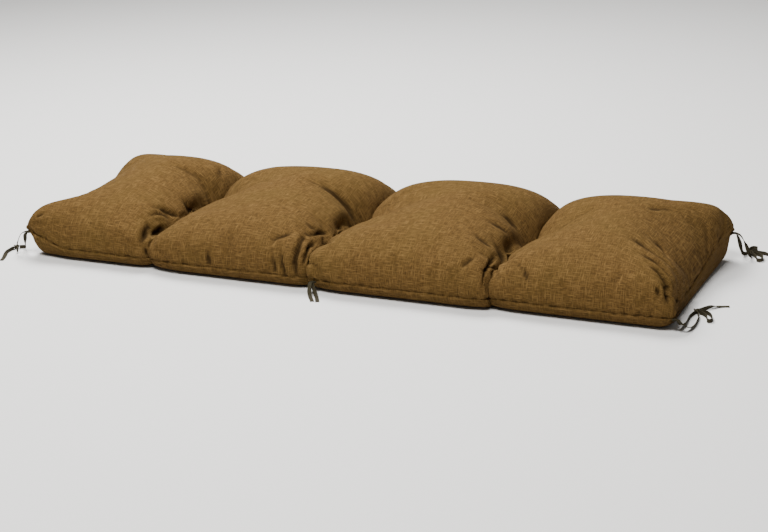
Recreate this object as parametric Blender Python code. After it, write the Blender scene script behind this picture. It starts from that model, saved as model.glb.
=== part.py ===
"""Bench cushion: four puffed sections between three tufted divisions, with tapes at its corners and front.

Metres, +Z up. The origin is on the floor under the middle of the cushion. Its length lies along X, its front
edge faces -Y, and the tapes leave its edge seam and lie on the floor around it.
"""

import math

import bmesh
import bpy
from mathutils import Vector

# ---------------------------------------------------------------- cushion: driving dimensions
LENGTH = 1.464
BACK_REACH = 0.249
SEAM_HEIGHT = 0.024
EDGE_BULGE = 0.007
END_BULGE = 0.008
END_DRAW_IN = 0.010
CORNER_TRIM = 0.014
CORNER_TRIM_REACH = 0.035
CORNER_LIFT_REACH = 0.11
UNDER_RADIUS = 0.036
UNDER_DIMPLE = 0.016
TUFT_REACH = 0.065
FRONT_TUFT_REACH = 0.045
GROOVE_SHARE = 0.35

# how boxy the filling makes each fall of the top panel: 1 is a straight slope, 2 a quarter circle
EDGE_POWER = 3.2
CORNER_POWER = 6.0
LEFT_FLANK_POWER = 1.45
RIGHT_FLANK_POWER = 1.9
BACK_FLANK_POWER = 3.0
FRONT_FLANK_POWER = 2.8
END_POWER = 1.8
END_CORNER_POWER = 5.5
LEFT_FRONT_CORNER_POWER = 10.0

# the sections from left to right: width, crown height at the front and the back, where the crest lies across
# the section, and how far the front edge reaches
SECTIONS = (
    {"width": 0.312, "crown_front": 0.142, "crown_back": 0.160, "crest": 0.60, "front_reach": 0.234},
    {"width": 0.380, "crown_front": 0.145, "crown_back": 0.162, "crest": 0.64, "front_reach": 0.242},
    {"width": 0.395, "crown_front": 0.145, "crown_back": 0.161, "crest": 0.62, "front_reach": 0.250},
    {"width": 0.377, "crown_front": 0.145, "crown_back": 0.160, "crest": 0.56, "front_reach": 0.240},
)

# the divisions: sideways lean of the back end, height of the valley behind and at the front edge, Y and height
# of its two tufts, and the groove in the front and back edges
DIVISIONS = (
    {"lean": 0.012, "valley": 0.066, "front_valley": 0.082, "front_tuft": -0.180, "front_height": 0.052,
     "middle_tuft": 0.050, "middle_height": 0.042, "groove": 0.020},
    {"lean": 0.018, "valley": 0.070, "front_valley": 0.100, "front_tuft": -0.178, "front_height": 0.068,
     "middle_tuft": 0.018, "middle_height": 0.042, "groove": 0.018},
    {"lean": 0.008, "valley": 0.068, "front_valley": 0.100, "front_tuft": -0.172, "front_height": 0.070,
     "middle_tuft": 0.008, "middle_height": 0.042, "groove": 0.014},
)
FRONT_VALLEY_START = -0.120
FRONT_VALLEY_FULL = -0.200

# how far the seam lies above the floor at the four corners
CORNER_SEAMS = (
    {"side": -1, "edge": -1, "height": 0.056},
    {"side": 1, "edge": -1, "height": 0.026},
    {"side": -1, "edge": 1, "height": 0.055},
    {"side": 1, "edge": 1, "height": 0.060},
)

# the main creases of the cloth, each a soft trough from one point to another on the surface
CREASES = (
    {"start": (-0.466, -0.152, 0.113), "end": (-0.421, -0.088, 0.084), "width": 0.018, "depth": 0.009},
    {"start": (-0.439, -0.192, 0.086), "end": (-0.438, -0.232, 0.046), "width": 0.018, "depth": 0.010},
    {"start": (-0.442, 0.148, 0.127), "end": (-0.419, 0.102, 0.090), "width": 0.022, "depth": 0.007},
    {"start": (-0.129, 0.029, 0.150), "end": (-0.054, 0.018, 0.108), "width": 0.026, "depth": 0.011},
    {"start": (-0.120, -0.230, 0.079), "end": (-0.112, -0.244, 0.035), "width": 0.018, "depth": 0.010},
    {"start": (-0.067, -0.167, 0.107), "end": (-0.065, -0.238, 0.059), "width": 0.018, "depth": 0.011},
    {"start": (0.290, 0.030, 0.140), "end": (0.330, 0.004, 0.112), "width": 0.026, "depth": 0.008},
    {"start": (0.423, -0.210, 0.094), "end": (0.447, -0.237, 0.066), "width": 0.018, "depth": 0.007},
    {"start": (0.593, 0.065, 0.151), "end": (0.665, 0.095, 0.125), "width": 0.024, "depth": 0.007},
    {"start": (0.610, -0.099, 0.136), "end": (0.692, -0.130, 0.104), "width": 0.024, "depth": 0.011},
    {"start": (0.645, -0.176, 0.122), "end": (0.702, -0.174, 0.102), "width": 0.020, "depth": 0.008},
    {"start": (0.686, -0.202, 0.107), "end": (0.714, -0.219, 0.076), "width": 0.018, "depth": 0.008},
)

COLUMNS_PER_SECTION = 20
TOP_ROWS = 36
UNDER_ROWS = 14

# ---------------------------------------------------------------- ties: driving dimensions
TAPE_WIDTH = 0.0085
TAPE_THICKNESS = 0.0014
TAPE_STEP = 0.006
KNOT_SIZE = (0.0150, 0.0130, 0.0096)
KNOT_DENT = 0.16
KNOT_DENT_REACH = 0.20
KNOT_SLANT = 0.4
PIECE_GAP = 0.0004
ROOT_CLEARANCE = 0.0008
ROOT_RUN = 0.010
ROOT_STACK = TAPE_THICKNESS + 0.0010
TWIST_START = 0.25
TWIST_LENGTH = 0.50
ON_EDGE = TAPE_WIDTH / 2 + PIECE_GAP
FLAT = TAPE_THICKNESS / 2 + PIECE_GAP

# where the tapes are sewn into the seam: the section, the share across it, and the seam's edge. The tip of
# a corner is the first column of points in from the end
CORNER_TIP = 0.5 - 0.5 * math.cos(math.pi / COLUMNS_PER_SECTION)
ROOTS = {
    "front_left": {"section": 0, "across": CORNER_TIP, "angle": 0.0},
    "front_middle": {"section": 2, "across": 0.05, "angle": 0.0},
    "front_right": {"section": 3, "across": 1.0 - CORNER_TIP, "angle": 0.0},
    "back_right": {"section": 3, "across": 1.0 - CORNER_TIP, "angle": math.pi},
    "back_left": {"section": 0, "across": CORNER_TIP, "angle": math.pi},
}

# the middle of each knot on the floor
KNOTS = {
    "front_left": (-0.786, -0.196),
    "front_right": (0.745, -0.115),
    "back_right": (0.757, 0.285),
}

# the tapes: each leaves a root or a knot at the start angle, in degrees, and ends at the end angle round its
# knot or, with none, in a free end. The rolls say how it lies at both: 0 flat, 90 on its edge. Where a pair
# leaves one root, the first lies on the second
TAPES = (
    {"tie": "front_left", "tape": "outer", "from": "root", "start": 186, "end": -27, "rolls": (0, 90)},
    {"tie": "front_left", "tape": "inner", "from": "root", "start": 174, "end": 27, "rolls": (0, 90)},
    {"tie": "front_left", "tape": "end", "from": "knot", "start": -100, "end": None, "rolls": (90, 0)},
    {"tie": "front_middle", "tape": "left", "from": "root", "start": -114, "end": None, "rolls": (0, 0)},
    {"tie": "front_middle", "tape": "right", "from": "root", "start": -104, "end": None, "rolls": (0, 0)},
    {"tie": "front_right", "tape": "outer", "from": "root", "start": -6, "end": -65, "rolls": (0, 90)},
    {"tie": "front_right", "tape": "inner", "from": "root", "start": 8, "end": -100, "rolls": (0, 90)},
    {"tie": "front_right", "tape": "bow", "from": "knot", "start": -30, "end": 5, "rolls": (90, 90)},
    {"tie": "front_right", "tape": "end", "from": "knot", "start": 60, "end": None, "rolls": (90, 0)},
    {"tie": "back_right", "tape": "outer", "from": "root", "start": -4, "end": -70, "rolls": (0, 90)},
    {"tie": "back_right", "tape": "inner", "from": "root", "start": 6, "end": -124, "rolls": (0, 90)},
    {"tie": "back_right", "tape": "bow", "from": "knot", "start": -42, "end": -12, "rolls": (90, 90)},
    {"tie": "back_right", "tape": "loop", "from": "knot", "start": 65, "end": 115, "rolls": (90, 90)},
    {"tie": "back_right", "tape": "end", "from": "knot", "start": 22, "end": None, "rolls": (90, 0)},
    {"tie": "back_left", "tape": "near", "from": "root", "start": 176, "end": None, "rolls": (0, 0)},
    {"tie": "back_left", "tape": "far", "from": "root", "start": 182, "end": None, "rolls": (0, 0)},
)

# the points that each tape passes between its two ends
ROUTES = {
    "tie_front_left_outer": (
        (-0.7460, -0.2290, 0.0490), (-0.7550, -0.2315, 0.0310), (-0.7630, -0.2260, 0.0115),
        (-0.7700, -0.2140, ON_EDGE)),
    "tie_front_left_inner": (
        (-0.7450, -0.2160, 0.0420), (-0.7540, -0.2040, 0.0230), (-0.7625, -0.1935, 0.0085),
        (-0.7710, -0.1885, ON_EDGE)),
    "tie_front_left_end": (
        (-0.7880, -0.2120, ON_EDGE), (-0.7860, -0.2300, 0.0044), (-0.7800, -0.2480, 0.0030),
        (-0.7730, -0.2650, FLAT), (-0.7680, -0.2800, FLAT)),
    "tie_front_middle_left": (
        (-0.0240, -0.2595, 0.0225), (-0.0215, -0.2690, 0.0120), (-0.0160, -0.2780, 0.0035),
        (-0.0075, -0.2895, FLAT), (0.0000, -0.3010, FLAT)),
    "tie_front_middle_right": (
        (-0.0150, -0.2580, 0.0110), (-0.0060, -0.2645, 0.0035), (0.0030, -0.2730, FLAT),
        (0.0110, -0.2845, FLAT), (0.0170, -0.2940, FLAT)),
    "tie_front_right_outer": (
        (0.7450, -0.2330, 0.0215), (0.7540, -0.2250, 0.0115), (0.7590, -0.2060, ON_EDGE),
        (0.7600, -0.1800, ON_EDGE), (0.7585, -0.1530, ON_EDGE), (0.7530, -0.1330, ON_EDGE)),
    "tie_front_right_inner": (
        (0.7400, -0.2190, 0.0125), (0.7415, -0.2020, 0.0070), (0.7410, -0.1750, ON_EDGE),
        (0.7405, -0.1500, ON_EDGE), (0.7420, -0.1320, ON_EDGE)),
    "tie_front_right_bow": (
        (0.7590, -0.1235, ON_EDGE), (0.7680, -0.1340, ON_EDGE), (0.7740, -0.1480, ON_EDGE),
        (0.7770, -0.1590, ON_EDGE), (0.7820, -0.1610, ON_EDGE), (0.7850, -0.1540, ON_EDGE),
        (0.7810, -0.1380, ON_EDGE), (0.7720, -0.1220, ON_EDGE), (0.7610, -0.1145, ON_EDGE)),
    "tie_front_right_end": (
        (0.7530, -0.1000, ON_EDGE), (0.7620, -0.0830, 0.0044), (0.7730, -0.0700, 0.0030),
        (0.7850, -0.0610, FLAT), (0.7960, -0.0570, FLAT)),
    "tie_back_right_outer": (
        (0.7470, 0.2400, 0.0540), (0.7570, 0.2430, 0.0360), (0.7635, 0.2510, 0.0125),
        (0.7645, 0.2640, ON_EDGE)),
    "tie_back_right_inner": (
        (0.7415, 0.2470, 0.0430), (0.7440, 0.2565, 0.0230), (0.7460, 0.2650, 0.0095),
        (0.7490, 0.2735, ON_EDGE)),
    "tie_back_right_bow": (
        (0.7680, 0.2720, ON_EDGE), (0.7770, 0.2580, ON_EDGE), (0.7810, 0.2440, ON_EDGE),
        (0.7860, 0.2390, ON_EDGE), (0.7920, 0.2440, ON_EDGE), (0.7910, 0.2590, ON_EDGE),
        (0.7830, 0.2740, ON_EDGE), (0.7720, 0.2815, ON_EDGE)),
    "tie_back_right_loop": (
        (0.7620, 0.2980, ON_EDGE), (0.7665, 0.3090, ON_EDGE), (0.7655, 0.3190, ON_EDGE),
        (0.7590, 0.3220, ON_EDGE), (0.7530, 0.3170, ON_EDGE), (0.7515, 0.3070, ON_EDGE),
        (0.7525, 0.2970, ON_EDGE)),
    "tie_back_right_end": (
        (0.7730, 0.2910, ON_EDGE), (0.7900, 0.2890, 0.0044), (0.8040, 0.2770, 0.0030),
        (0.8110, 0.2590, FLAT), (0.8130, 0.2410, FLAT)),
    "tie_back_left_near": (
        (-0.7450, 0.2450, 0.0500), (-0.7470, 0.2560, 0.0370), (-0.7400, 0.2660, 0.0180),
        (-0.7250, 0.2710, 0.0040), (-0.6980, 0.2720, FLAT), (-0.6640, 0.2690, FLAT),
        (-0.6290, 0.2730, FLAT)),
    "tie_back_left_far": (
        (-0.7500, 0.2440, 0.0380), (-0.7580, 0.2570, 0.0200), (-0.7550, 0.2720, 0.0065),
        (-0.7400, 0.2850, 0.0016), (-0.7130, 0.2920, FLAT), (-0.6800, 0.2940, FLAT),
        (-0.6480, 0.2900, FLAT)),
}

CLOTH = {"colour": (0.23, 0.16, 0.085), "roughness": 0.9}
TAPE = {"colour": (0.10, 0.085, 0.05), "roughness": 0.85}


def clear_scene():
    for obj in list(bpy.data.objects):
        bpy.data.objects.remove(obj, do_unlink=True)


def mix(a, b, share):
    return a + (b - a) * share


def clamp(share):
    return min(max(share, 0.0), 1.0)


def smooth(share):
    """0 up to 0 and 1 from 1 on, with level ends."""
    t = clamp(share)
    return t * t * (3.0 - 2.0 * t)


def rise(share, power):
    """0 at 0 and 1 from 1 on, steep at first like the side of a rounded box."""
    return (1.0 - (1.0 - clamp(share)) ** power) ** (1.0 / power)


def bell(distance, reach):
    """1 at 0 and 0 past 'reach', smooth at both."""
    t = clamp(abs(distance) / reach)
    return (1.0 - t * t) ** 2


# ---------------------------------------------------------------- plan of the cushion
def is_end(line):
    """Boundary lines are numbered from the left: 0 and 4 are the ends, 1 to 3 the divisions."""
    return line in (0, len(SECTIONS))


def line_x(line, y):
    """X of a boundary line at depth y. The ends are drawn in between their corners."""
    if is_end(line):
        across = clamp(abs(y) / BACK_REACH)
        return math.copysign(LENGTH / 2 - END_BULGE - END_DRAW_IN * (1.0 - across ** 2), line - 1)
    front_x = -LENGTH / 2 + sum(section["width"] for section in SECTIONS[:line])
    return front_x + DIVISIONS[line - 1]["lean"] * (y + BACK_REACH) / (2 * BACK_REACH)


def seam_height(x, y):
    """Height of the edge seam, which lifts towards the corners."""
    height = SEAM_HEIGHT
    for corner in CORNER_SEAMS:
        near = bell(x - corner["side"] * LENGTH / 2, CORNER_LIFT_REACH)
        near *= bell(y - corner["edge"] * BACK_REACH, 3 * CORNER_LIFT_REACH)
        height += (corner["height"] - SEAM_HEIGHT) * near
    return height


def front_share(y):
    """0 behind the front stretch of the divisions and 1 at the front edge."""
    return smooth((y - FRONT_VALLEY_START) / (FRONT_VALLEY_FULL - FRONT_VALLEY_START))


def line_height(line, x, y):
    """Height of the top panel on a boundary line: the end seam, or a valley pulled down at its tufts."""
    if is_end(line):
        return seam_height(x, y)
    row = DIVISIONS[line - 1]
    height = mix(row["valley"], row["front_valley"], front_share(y))
    height = mix(height, row["front_height"], bell(y - row["front_tuft"], FRONT_TUFT_REACH))
    return mix(height, row["middle_height"], bell(y - row["middle_tuft"], TUFT_REACH))


def nearest_line(section, across):
    """The boundary line on this side of the section's crest, and the share of the way from it to the crest."""
    crest = SECTIONS[section]["crest"]
    if across < crest:
        return section, across / crest
    return section + 1, (1.0 - across) / (1.0 - crest)


def flank_power(section, line, y):
    """How boxy a section is where it falls to a boundary line."""
    near_corner = clamp(abs(y) / BACK_REACH)
    if line == 0 and y < 0.0:
        return mix(END_POWER, LEFT_FRONT_CORNER_POWER, near_corner ** 5)
    if is_end(line):
        return mix(END_POWER, END_CORNER_POWER, near_corner ** 3)
    middle = LEFT_FLANK_POWER if line == section else RIGHT_FLANK_POWER
    behind = mix(middle, BACK_FLANK_POWER, smooth(y / BACK_REACH))
    return mix(behind, FRONT_FLANK_POWER, front_share(y))


def edge_power(section, across):
    line, share = nearest_line(section, across)
    return mix(CORNER_POWER, EDGE_POWER, clamp(share * 1.5)) if is_end(line) else EDGE_POWER


def panel_height(section, across, x, y):
    """Height of the filled top panel before it falls to the front and back seams."""
    row = SECTIONS[section]
    crown = mix(row["crown_front"], row["crown_back"], smooth((y + 0.15) / 0.30))
    line, share = nearest_line(section, across)
    return mix(line_height(line, x, y), crown, rise(share, flank_power(section, line, y)))


def draw_in(section, across):
    """How far the front and back edges are drawn in: in a groove at a division, and round a corner."""
    line, share = nearest_line(section, across)
    if is_end(line):
        from_end = share * SECTIONS[section]["width"] / 2
        return CORNER_TRIM * (1.0 - rise(from_end / CORNER_TRIM_REACH, 2.0))
    return DIVISIONS[line - 1]["groove"] * (1.0 - rise(share / GROOVE_SHARE, RIGHT_FLANK_POWER))


def end_bulge(section, across, y):
    """How far the filling pushes an end of the cushion out past its seam."""
    line, share = nearest_line(section, across)
    if not is_end(line):
        return 0.0
    filled = rise(share, flank_power(section, line, y))
    return math.copysign(END_BULGE * math.sin(math.pi * clamp(filled / 0.8)), line - 1)


# ---------------------------------------------------------------- the two panels
def top_point(section, across, angle):
    """A point of the top panel: angle 0 is the front seam, pi the back seam."""
    cosine = math.cos(angle)
    lift = math.sin(angle)
    reach = (SECTIONS[section]["front_reach"] if cosine > 0 else BACK_REACH) - draw_in(section, across)
    depth = reach * abs(cosine) ** (2.0 / edge_power(section, across))
    depth += EDGE_BULGE * math.sin(math.pi * clamp(lift / 0.7))
    y = -math.copysign(depth, cosine)
    x = mix(line_x(section, y), line_x(section + 1, y), across) + end_bulge(section, across, y)
    low = seam_height(x, y)
    return Vector((x, y, low + (panel_height(section, across, x, y) - low) * lift))


def under_point(share, front, back):
    """A point of the bottom panel between the two seam points of its column: flat but for the tufts."""
    x = mix(front.x, back.x, share)
    y = mix(front.y, back.y, share)
    from_edge = min(y - front.y, back.y - y)
    from_end = LENGTH / 2 - abs(x)
    flat = rise(from_edge / UNDER_RADIUS, 2.0) * rise(from_end / UNDER_RADIUS, 2.0)
    z = seam_height(x, y) * (1.0 - flat)
    for line, row in enumerate(DIVISIONS, start=1):
        for tuft in (row["front_tuft"], row["middle_tuft"]):
            away = math.hypot(x - line_x(line, tuft), y - tuft)
            z = max(z, UNDER_DIMPLE * bell(away, TUFT_REACH))
    return Vector((x, y, z))


def columns():
    """(section, share across it) of every column of points, closer together at the boundary lines."""
    places = [(0, 0.0)]
    for section in range(len(SECTIONS)):
        for step in range(1, COLUMNS_PER_SECTION + 1):
            places.append((section, 0.5 - 0.5 * math.cos(math.pi * step / COLUMNS_PER_SECTION)))
    return places


def crease_depth(point, crease):
    """How deep a crease presses the cloth in at a point of the surface."""
    start = Vector(crease["start"])
    run = Vector(crease["end"]) - start
    along = (point - start).dot(run) / run.length_squared
    away = (point - start - run * clamp(along)).length
    return crease["depth"] * bell(away, crease["width"])


def press_creases(shaped):
    shaped.normal_update()
    for vert in shaped.verts:
        depth = sum(crease_depth(vert.co, crease) for crease in CREASES)
        if depth > 0.0:
            vert.co -= vert.normal * depth


def sheet_faces(first, wide, high):
    """Quads of a grid of points that are stored column by column from 'first' on."""
    quads = []
    for column in range(wide - 1):
        for row in range(high - 1):
            corner = first + column * high + row
            quads.append((corner, corner + high, corner + high + 1, corner + 1))
    return quads


def build_cushion():
    """The top and bottom panels, sewn together all round the edge."""
    places = columns()
    top_high = TOP_ROWS + 1
    under_high = UNDER_ROWS + 1
    points = []
    for section, across in places:
        for row in range(top_high):
            points.append(top_point(section, across, math.pi * row / TOP_ROWS))
    first_under = len(points)
    for column in range(len(places)):
        front = points[column * top_high]
        back = points[column * top_high + TOP_ROWS]
        for row in range(under_high):
            points.append(under_point(0.5 - 0.5 * math.cos(math.pi * row / UNDER_ROWS), front, back))
    faces = sheet_faces(0, len(places), top_high) + sheet_faces(first_under, len(places), under_high)
    for column in (0, len(places) - 1):
        top_end = list(range(column * top_high, (column + 1) * top_high))
        under_end = list(range(first_under + column * under_high, first_under + (column + 1) * under_high))
        faces.append(top_end + under_end[-2:0:-1])
    shaped = mesh_of(points, faces)
    press_creases(shaped)
    return finish_object("cushion", shaped, CLOTH)


# ---------------------------------------------------------------- meshes and materials
def mesh_of(points, faces):
    """A closed bmesh with its shared points merged and its faces turned outwards."""
    shaped = bmesh.new()
    verts = [shaped.verts.new(point) for point in points]
    for face in faces:
        shaped.faces.new([verts[index] for index in face])
    bmesh.ops.remove_doubles(shaped, verts=shaped.verts, dist=1e-5)
    bmesh.ops.recalc_face_normals(shaped, faces=shaped.faces)
    return shaped


def material_of(name, look):
    material = bpy.data.materials.new(name)
    material.use_nodes = True
    shader = material.node_tree.nodes["Principled BSDF"]
    shader.inputs["Base Color"].default_value = (*look["colour"], 1.0)
    shader.inputs["Roughness"].default_value = look["roughness"]
    shader.inputs["Metallic"].default_value = 0.0
    return material


def finish_object(name, shaped, look):
    mesh = bpy.data.meshes.new(name)
    shaped.to_mesh(mesh)
    shaped.free()
    mesh.shade_smooth()
    mesh.materials.append(material_of(name, look))
    obj = bpy.data.objects.new(name, mesh)
    bpy.context.scene.collection.objects.link(obj)
    return obj


# ---------------------------------------------------------------- ties
def name_of(tape):
    return f"tie_{tape['tie']}_{tape['tape']}"


def heading(degrees):
    """The level direction at this angle from +X."""
    return Vector((math.cos(math.radians(degrees)), math.sin(math.radians(degrees)), 0.0))


def root_points(tape):
    """The first stretch of a tape, straight out of the seam, the second tape of a pair under the first."""
    row = ROOTS[tape["tie"]]
    seam = top_point(row["section"], row["across"], row["angle"])
    pair = [other for other in TAPES if other["tie"] == tape["tie"] and other["from"] == "root"]
    seam.z -= ROOT_STACK * pair.index(tape)
    outward = heading(tape["start"])
    return [seam + outward * ROOT_CLEARANCE, seam + outward * ROOT_RUN]


def knot_side(tie, degrees):
    """A point just outside a knot, at this angle round it."""
    outward = heading(degrees)
    half_x, half_y = KNOT_SIZE[0] / 2, KNOT_SIZE[1] / 2
    radius = half_x * half_y / math.hypot(half_y * outward.x, half_x * outward.y) + PIECE_GAP
    return Vector((*KNOTS[tie], ON_EDGE)) + outward * radius


def tape_points(tape):
    """The route of a tape from end to end."""
    points = root_points(tape) if tape["from"] == "root" else [knot_side(tape["tie"], tape["start"])]
    points += [Vector(point) for point in ROUTES[name_of(tape)]]
    if tape["end"] is not None:
        points.append(knot_side(tape["tie"], tape["end"]))
    return points


def smooth_route(points, step):
    """Points about 'step' apart on a smooth curve through the given ones."""
    ends = [points[0] * 2 - points[1]] + points + [points[-1] * 2 - points[-2]]
    route = [points[0].copy()]
    for before, a, b, after in zip(ends, ends[1:], ends[2:], ends[3:]):
        pieces = max(1, round((b - a).length / step))
        for piece in range(1, pieces + 1):
            t = piece / pieces
            bend = (b - before) * t + (before * 2 - a * 5 + b * 4 - after) * t ** 2
            bend += (a * 3 - before - b * 3 + after) * t ** 3
            route.append(a + bend * 0.5)
    return route


def resting_height(roll):
    """The height of a tape's middle when it lies on the floor, rolled by this many degrees."""
    lean = math.radians(roll)
    return (TAPE_WIDTH * math.sin(lean) + TAPE_THICKNESS * math.cos(lean)) / 2 + PIECE_GAP


def build_tape(tape):
    """A flat woven tape: a curve with the tape's section, rolled from its first lie to its last."""
    name = name_of(tape)
    route = smooth_route(tape_points(tape), TAPE_STEP)
    curve = bpy.data.curves.new(name, "CURVE")
    curve.dimensions = "3D"
    curve.twist_mode = "Z_UP"
    curve.extrude = (TAPE_WIDTH - TAPE_THICKNESS) / 2
    curve.bevel_depth = TAPE_THICKNESS / 2
    curve.bevel_resolution = 0
    curve.use_fill_caps = True
    spline = curve.splines.new("POLY")
    spline.points.add(len(route) - 1)
    for index, (point, place) in enumerate(zip(spline.points, route)):
        twist = smooth((index / (len(route) - 1) - TWIST_START) / TWIST_LENGTH)
        roll = mix(*tape["rolls"], twist)
        point.co = (place.x, place.y, max(place.z, resting_height(roll)), 1.0)
        point.tilt = math.radians(90.0 - roll)
    curve.materials.append(material_of(name, TAPE))
    obj = bpy.data.objects.new(name, curve)
    bpy.context.scene.collection.objects.link(obj)
    return obj


def build_knot(tie):
    """A small pulled-tight knot: a squashed ball with the dent of its last turn round the middle."""
    shaped = bmesh.new()
    bmesh.ops.create_icosphere(shaped, subdivisions=3, radius=0.5)
    for vert in shaped.verts:
        dent = 1.0 - KNOT_DENT * bell(vert.co.x + KNOT_SLANT * vert.co.y, KNOT_DENT_REACH)
        size = Vector((1.0, dent, dent))
        vert.co = Vector(vert.co[axis] * KNOT_SIZE[axis] * size[axis] for axis in range(3))
        vert.co += Vector((*KNOTS[tie], KNOT_SIZE[2] / 2 + PIECE_GAP))
    return finish_object("knot_" + tie, shaped, TAPE)


def main():
    clear_scene()
    build_cushion()
    for tape in TAPES:
        build_tape(tape)
    for tie in KNOTS:
        build_knot(tie)


main()
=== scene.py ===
"""A long bench seat cushion and its tape ties on a pale floor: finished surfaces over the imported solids."""

import math

import bpy
import numpy as np
from mathutils import Matrix, Vector


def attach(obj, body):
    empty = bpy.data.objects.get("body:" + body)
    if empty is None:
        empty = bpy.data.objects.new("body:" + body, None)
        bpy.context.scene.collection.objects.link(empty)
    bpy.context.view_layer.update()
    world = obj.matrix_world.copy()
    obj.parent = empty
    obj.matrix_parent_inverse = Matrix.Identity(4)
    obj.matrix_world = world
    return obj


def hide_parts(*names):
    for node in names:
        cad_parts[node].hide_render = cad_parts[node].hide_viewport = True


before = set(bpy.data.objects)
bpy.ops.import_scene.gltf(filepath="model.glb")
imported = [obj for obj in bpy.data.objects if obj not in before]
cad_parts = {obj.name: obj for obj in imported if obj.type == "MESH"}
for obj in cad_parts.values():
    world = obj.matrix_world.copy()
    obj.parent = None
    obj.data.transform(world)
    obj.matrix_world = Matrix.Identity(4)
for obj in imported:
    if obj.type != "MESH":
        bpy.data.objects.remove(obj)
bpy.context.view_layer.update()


# ------------------------------------------------------------ camera
# The camera stands in front of the cushion and to the right of its middle, and looks down on it. The focal
# length is in pixels of the picture's width.
EYE = Vector((1.58281, -3.46687, 1.23209))
SIGHT_LINE = Vector((-0.3891, 0.8668, -0.3117)).normalized()
PICTURE_RIGHT = Vector((0.9156, 0.4011, -0.0274))
PICTURE_WIDTH = 768.0
FOCAL_PIXELS = 1849.49


def placed(name, data):
    """A new object with this data, in the scene."""
    obj = bpy.data.objects.new(name, data)
    bpy.context.scene.collection.objects.link(obj)
    return obj


lens = bpy.data.cameras.new("eye")
lens.sensor_width = 36.0
lens.lens = FOCAL_PIXELS / PICTURE_WIDTH * lens.sensor_width
lens.clip_start = 0.1
lens.clip_end = 50.0
eye = placed("eye", lens)
picture_right = (PICTURE_RIGHT - SIGHT_LINE * PICTURE_RIGHT.dot(SIGHT_LINE)).normalized()
picture_up = picture_right.cross(SIGHT_LINE)
eye.matrix_world = Matrix((
    (picture_right.x, picture_up.x, -SIGHT_LINE.x, EYE.x),
    (picture_right.y, picture_up.y, -SIGHT_LINE.y, EYE.y),
    (picture_right.z, picture_up.z, -SIGHT_LINE.z, EYE.z),
    (0.0, 0.0, 0.0, 1.0)))
bpy.context.scene.camera = eye


# ------------------------------------------------------------ cushion: the two cloth panels
# Two panels of slubby linen-like cloth, sewn together round a knife edge, turned and stuffed with loose
# fibre. Along three lines the panels are drawn together through the filling, each time at two tufts.
LENGTH = 1.464
BACK_REACH = 0.249
SEAM_HEIGHT = 0.024
# how far the stuffed cloth rolls out over the seam, and the share of its rise at which it is back
EDGE_BULGE = 0.014
CORNER_BULGE = 0.007
EDGE_BULGE_TOP = 0.7
END_BULGE = 0.008
END_BULGE_TOP = 0.8
END_DRAW_IN = 0.010
CORNER_TRIM = 0.014
CORNER_TRIM_REACH = 0.035
CORNER_LIFT_REACH = 0.11
UNDER_RADIUS = 0.036
UNDER_DIMPLE = 0.016
TUFT_REACH = 0.065
FRONT_TUFT_REACH = 0.045
GROOVE_SHARE = 0.35
# how boxy the cushion is where it falls to its seams and its divisions: a power of 2 is round
EDGE_POWER = 3.2
CORNER_POWER = 6.0
FROM_CORNER = 1.5
LEFT_FLANK_POWER = 1.45
RIGHT_FLANK_POWER = 1.9
BACK_FLANK_POWER = 3.0
FRONT_FLANK_POWER = 2.8
END_POWER = 1.8
END_CORNER_POWER = 5.5
END_CORNER_ONSET = 3
LEFT_FRONT_CORNER_POWER = 10.0
LEFT_FRONT_CORNER_ONSET = 5
# the sections from left to right, whose crowns rise from front to back, and the divisions between them
CROWN_FRONT = -0.15
CROWN_BACK = 0.15
SECTIONS = (
    {"width": 0.312, "crown_front": 0.142, "crown_back": 0.160, "crest": 0.60, "front_reach": 0.234},
    {"width": 0.380, "crown_front": 0.145, "crown_back": 0.162, "crest": 0.64, "front_reach": 0.242},
    {"width": 0.395, "crown_front": 0.145, "crown_back": 0.161, "crest": 0.62, "front_reach": 0.250},
    {"width": 0.377, "crown_front": 0.145, "crown_back": 0.160, "crest": 0.56, "front_reach": 0.240},
)
DIVISIONS = (
    {"lean": 0.012, "valley": 0.066, "front_valley": 0.082, "front_tuft": -0.180, "front_height": 0.052,
     "middle_tuft": 0.050, "middle_height": 0.042, "groove": 0.020},
    {"lean": 0.018, "valley": 0.070, "front_valley": 0.100, "front_tuft": -0.178, "front_height": 0.068,
     "middle_tuft": 0.018, "middle_height": 0.042, "groove": 0.018},
    {"lean": 0.008, "valley": 0.068, "front_valley": 0.100, "front_tuft": -0.172, "front_height": 0.070,
     "middle_tuft": 0.008, "middle_height": 0.042, "groove": 0.014},
)
FRONT_VALLEY_START = -0.120
FRONT_VALLEY_FULL = -0.200
CORNER_SEAMS = (
    {"side": -1, "edge": -1, "height": 0.056},
    {"side": 1, "edge": -1, "height": 0.026},
    {"side": -1, "edge": 1, "height": 0.055},
    {"side": 1, "edge": 1, "height": 0.060},
)
CLOTH_STEP = 0.006
CURVE_SAMPLES = 2001


def mix(a, b, share):
    return a + (b - a) * share


def clamp(share):
    return min(max(share, 0.0), 1.0)


def smooth(share):
    t = clamp(share)
    return t * t * (3.0 - 2.0 * t)


def rise(share, power):
    """0 at 0 and 1 from 1 on, steep at first like the side of a rounded box."""
    return (1.0 - (1.0 - clamp(share)) ** power) ** (1.0 / power)


def bell(distance, reach):
    """1 at 0 and 0 past 'reach', smooth at both."""
    t = clamp(abs(distance) / reach)
    return (1.0 - t * t) ** 2


def is_end(line):
    return line in (0, len(SECTIONS))


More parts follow.
